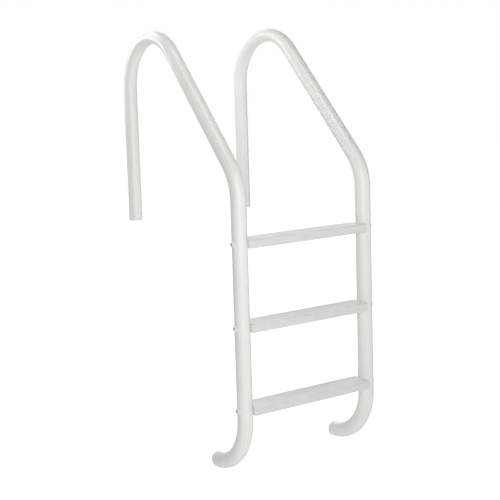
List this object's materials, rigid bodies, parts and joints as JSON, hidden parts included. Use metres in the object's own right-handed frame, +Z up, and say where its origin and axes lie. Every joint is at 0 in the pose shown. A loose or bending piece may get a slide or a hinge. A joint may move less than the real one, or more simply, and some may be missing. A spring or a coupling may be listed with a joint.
{
  "type": "pool ladder",
  "caption": "In-ground pool ladder with two bent round rails that arch over the pool edge, flat bolted treads between them and bumpers on the curved feet.",
  "frame": {"origin": "middle of the bounding box in X and Y, at the ladder's lowest point", "axes": "+X across the ladder to the right as a swimmer in the pool faces it, +Y from the water towards the deck, +Z up along the pool legs"},
  "size_m": [0.5716, 0.7664, 1.5154],
  "materials": {
    "rail_polymer": "satin white polymer skin, slightly warm",
    "core_steel": "plain drawn steel tube, seen only at the cut ends",
    "tread_polymer": "moulded off-white polymer with a fine grain",
    "seat_nylon": "moulded white nylon",
    "bolt_steel": "passivated stainless steel",
    "bumper_vinyl": "soft white vinyl"
  },
  "bodies": {
    "root": {"left_rail_skin": "rail_polymer", "right_rail_skin": "rail_polymer", "left_rail_core": "core_steel", "right_rail_core": "core_steel", "upper_tread": "tread_polymer", "middle_tread": "tread_polymer", "lower_tread": "tread_polymer", "upper_left_bolt": "bolt_steel", "upper_right_bolt": "bolt_steel", "middle_left_bolt": "bolt_steel", "middle_right_bolt": "bolt_steel", "lower_left_bolt": "bolt_steel", "lower_right_bolt": "bolt_steel", "upper_left_bolt_seat": "seat_nylon", "upper_right_bolt_seat": "seat_nylon", "middle_left_bolt_seat": "seat_nylon", "middle_right_bolt_seat": "seat_nylon", "lower_left_bolt_seat": "seat_nylon", "lower_right_bolt_seat": "seat_nylon", "upper_left_nut": "bolt_steel", "upper_right_nut": "bolt_steel", "middle_left_nut": "bolt_steel", "middle_right_nut": "bolt_steel", "lower_left_nut": "bolt_steel", "lower_right_nut": "bolt_steel", "left_foot_bumper": "bumper_vinyl", "right_foot_bumper": "bumper_vinyl"}
  },
  "joints": []
}
